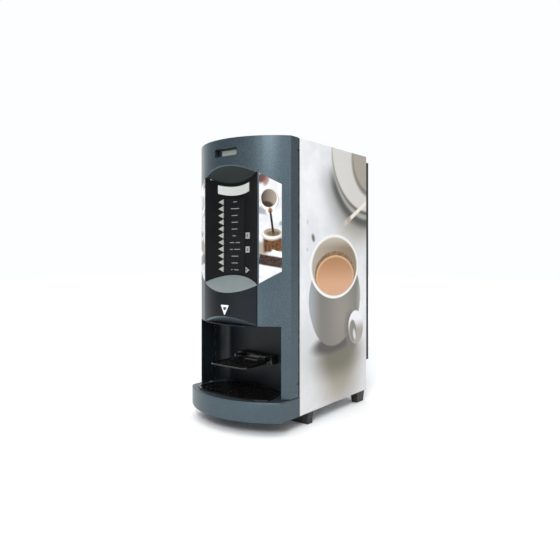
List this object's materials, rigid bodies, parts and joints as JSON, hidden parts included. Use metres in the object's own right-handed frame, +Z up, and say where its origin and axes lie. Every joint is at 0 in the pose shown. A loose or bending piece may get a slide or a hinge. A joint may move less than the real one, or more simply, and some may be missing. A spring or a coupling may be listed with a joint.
{
  "type": "hot drinks vending machine",
  "caption": "Table-top hot drinks vending machine: bowed hinged door with a hollowed keypad, cup station with folding shelf, lift-out drip tray, printed sides and brewing gear inside.",
  "frame": {"origin": "on the surface that the machine stands on, under the middle of its outline", "axes": "+Z up, +X to the right seen from the front, +Y to the rear; the door faces -Y"},
  "size_m": [0.32, 0.5066, 0.75],
  "materials": {
    "slate_abs": "moulded, fine texture with a metallic sheen",
    "slate_dark_abs": "moulded, fine texture with a metallic sheen",
    "white_coated_steel": "smooth printed coating",
    "white_coated_steel_plain": "smooth coating",
    "black_coated_steel": "fine textured powder coat",
    "zinc_steel": "satin zinc",
    "charcoal_plastic": "fine texture",
    "black_gloss_plastic": "polished",
    "black_plastic": "semi-gloss",
    "key_grey_plastic": "satin",
    "badge_plastic": "satin",
    "lens_frosted": "frosted",
    "lens_smoked": "smoked",
    "lcd_glass": "polished",
    "printed_panel": "printed film",
    "rubber_seal": "matte",
    "tray_plastic": "satin",
    "foot_plastic": "moulded",
    "canister_plastic": "translucent",
    "bowl_plastic": "satin",
    "silicone_hose": "translucent",
    "foam_jacket": "foam jacket",
    "motor_case": "satin",
    "circuit_board": "solder mask",
    "pump_body": "moulded",
    "auger_plastic": "satin",
    "inlet_plastic": "moulded",
    "lock_chrome": "polished",
    "screw_steel": "zinc"
  },
  "bodies": {
    "cabinet": {"chassis_base": "zinc_steel", "left_side_panel": "white_coated_steel_plain", "right_side_panel": "white_coated_steel", "rear_panel": "zinc_steel", "rear_cover": "black_coated_steel", "panel_screws": "screw_steel", "front_frame": "zinc_steel", "drip_base": "slate_abs", "cup_station_liner": "charcoal_plastic", "shelf_bracket": "black_plastic", "feet": "foot_plastic", "equipment_deck": "zinc_steel", "canisters": "canister_plastic", "gear_motors": "motor_case", "mixing_bowls": "bowl_plastic", "nozzle_head": "charcoal_plastic", "mixer_hoses": "silicone_hose", "boiler": "foam_jacket", "water_pump": "pump_body", "control_board": "circuit_board", "rear_inlets": "inlet_plastic", "hinge_brackets": "zinc_steel"},
    "door": {"door_shell": "slate_abs", "column_panel": "slate_dark_abs", "upper_lens": "lens_smoked", "lower_lens": "lens_frosted", "control_panel": "black_gloss_plastic", "badge_plate": "badge_plastic", "display_bezel": "slate_abs", "lcd_module": "lcd_glass", "graphic_panels": "printed_panel", "cup_station_surround": "charcoal_plastic", "door_inner_cover": "charcoal_plastic", "keypad_board": "circuit_board", "door_gasket": "rubber_seal"},
    "lock_plug": {"door_lock": "lock_chrome"},
    "top_lid": {"top_cover": "slate_abs"},
    "cup_shelf": {"cup_shelf": "black_gloss_plastic"},
    "drip_tray": {"drip_tray": "tray_plastic"},
    "drip_grid": {"drip_grid": "black_plastic"},
    "canister_lid": {"canister_lid": "canister_plastic"},
    "auger_left": {"auger_left": "auger_plastic"},
    "auger_middle": {"auger_middle": "auger_plastic"},
    "auger_right": {"auger_right": "auger_plastic"},
    "whipper_left": {"whipper_left": "auger_plastic"},
    "whipper_right": {"whipper_right": "auger_plastic"},
    "selection_key_01": {"selection_key_01": "key_grey_plastic"},
    "selection_key_02": {"selection_key_02": "key_grey_plastic"},
    "selection_key_03": {"selection_key_03": "key_grey_plastic"},
    "selection_key_04": {"selection_key_04": "key_grey_plastic"},
    "selection_key_05": {"selection_key_05": "key_grey_plastic"},
    "selection_key_06": {"selection_key_06": "key_grey_plastic"},
    "selection_key_07": {"selection_key_07": "key_grey_plastic"},
    "selection_key_08": {"selection_key_08": "key_grey_plastic"},
    "selection_key_09": {"selection_key_09": "key_grey_plastic"},
    "selection_key_10": {"selection_key_10": "key_grey_plastic"},
    "selection_key_11": {"selection_key_11": "key_grey_plastic"},
    "option_key_1": {"option_key_1": "key_grey_plastic"},
    "option_key_2": {"option_key_2": "key_grey_plastic"},
    "cancel_key": {"cancel_key": "key_grey_plastic"}
  },
  "joints": [
    {"name": "door_swing", "type": "hinge", "parent": "cabinet", "child": "door", "pos_m": [0.154, -0.1247, 0.4], "axis": [0, 0, 1], "range_deg": [0, 100]},
    {"name": "lock_turn", "type": "hinge", "parent": "door", "child": "lock_plug", "pos_m": [-0.155, -0.1407, 0.48], "axis": [1, 0, 0], "range_deg": [0, 90]},
    {"name": "top_lid_lift", "type": "hinge", "parent": "cabinet", "child": "top_lid", "pos_m": [0, 0.2263, 0.743], "axis": [-1, 0, 0], "range_deg": [0, 95]},
    {"name": "cup_shelf_fold", "type": "hinge", "parent": "cabinet", "child": "cup_shelf", "pos_m": [0, -0.1247, 0.167], "axis": [-1, 0, 0], "range_deg": [0, 90]},
    {"name": "drip_tray_lift", "type": "slide", "parent": "cabinet", "child": "drip_tray", "axis": [0, 0, 1], "range_m": [0, 0.042]},
    {"name": "drip_grid_lift", "type": "slide", "parent": "drip_tray", "child": "drip_grid", "axis": [0, 0, 1], "range_m": [0, 0.02]},
    {"name": "canister_lid_lift", "type": "slide", "parent": "cabinet", "child": "canister_lid", "axis": [0, 0, 1], "range_m": [0, 0.02]},
    {"name": "auger_left_spin", "type": "hinge", "parent": "cabinet", "child": "auger_left", "pos_m": [-0.098, 0.0033, 0.508], "axis": [0, 1, 0], "continuous": true},
    {"name": "auger_middle_spin", "type": "hinge", "parent": "cabinet", "child": "auger_middle", "pos_m": [0, 0.0033, 0.508], "axis": [0, 1, 0], "continuous": true},
    {"name": "auger_right_spin", "type": "hinge", "parent": "cabinet", "child": "auger_right", "pos_m": [0.098, 0.0033, 0.508], "axis": [0, 1, 0], "continuous": true},
    {"name": "whipper_left_spin", "type": "hinge", "parent": "cabinet", "child": "whipper_left", "pos_m": [-0.068, -0.0267, 0.418], "axis": [0, 1, 0], "continuous": true},
    {"name": "whipper_right_spin", "type": "hinge", "parent": "cabinet", "child": "whipper_right", "pos_m": [0.068, -0.0267, 0.418], "axis": [0, 1, 0], "continuous": true},
    {"name": "selection_key_01_press", "type": "slide", "parent": "door", "child": "selection_key_01", "axis": [-0.2085, 0.978, 0], "range_m": [0, 0.0015], "stiffness_N_per_m": 350},
    {"name": "selection_key_02_press", "type": "slide", "parent": "door", "child": "selection_key_02", "axis": [-0.2085, 0.978, 0], "range_m": [0, 0.0015], "stiffness_N_per_m": 350},
    {"name": "selection_key_03_press", "type": "slide", "parent": "door", "child": "selection_key_03", "axis": [-0.2085, 0.978, 0], "range_m": [0, 0.0015], "stiffness_N_per_m": 350},
    {"name": "selection_key_04_press", "type": "slide", "parent": "door", "child": "selection_key_04", "axis": [-0.2085, 0.978, 0], "range_m": [0, 0.0015], "stiffness_N_per_m": 350},
    {"name": "selection_key_05_press", "type": "slide", "parent": "door", "child": "selection_key_05", "axis": [-0.2085, 0.978, 0], "range_m": [0, 0.0015], "stiffness_N_per_m": 350},
    {"name": "selection_key_06_press", "type": "slide", "parent": "door", "child": "selection_key_06", "axis": [-0.2085, 0.978, 0], "range_m": [0, 0.0015], "stiffness_N_per_m": 350},
    {"name": "selection_key_07_press", "type": "slide", "parent": "door", "child": "selection_key_07", "axis": [-0.2085, 0.978, 0], "range_m": [0, 0.0015], "stiffness_N_per_m": 350},
    {"name": "selection_key_08_press", "type": "slide", "parent": "door", "child": "selection_key_08", "axis": [-0.2085, 0.978, 0], "range_m": [0, 0.0015], "stiffness_N_per_m": 350},
    {"name": "selection_key_09_press", "type": "slide", "parent": "door", "child": "selection_key_09", "axis": [-0.2085, 0.978, 0], "range_m": [0, 0.0015], "stiffness_N_per_m": 350},
    {"name": "selection_key_10_press", "type": "slide", "parent": "door", "child": "selection_key_10", "axis": [-0.2085, 0.978, 0], "range_m": [0, 0.0015], "stiffness_N_per_m": 350},
    {"name": "selection_key_11_press", "type": "slide", "parent": "door", "child": "selection_key_11", "axis": [-0.2085, 0.978, 0], "range_m": [0, 0.0015], "stiffness_N_per_m": 350},
    {"name": "option_key_1_press", "type": "slide", "parent": "door", "child": "option_key_1", "axis": [0.2211, 0.9753, 0], "range_m": [0, 0.0015], "stiffness_N_per_m": 350},
    {"name": "option_key_2_press", "type": "slide", "parent": "door", "child": "option_key_2", "axis": [0.2211, 0.9753, 0], "range_m": [0, 0.0015], "stiffness_N_per_m": 350},
    {"name": "cancel_key_press", "type": "slide", "parent": "door", "child": "cancel_key", "axis": [0.2211, 0.9753, 0], "range_m": [0, 0.0015], "stiffness_N_per_m": 350}
  ]
}
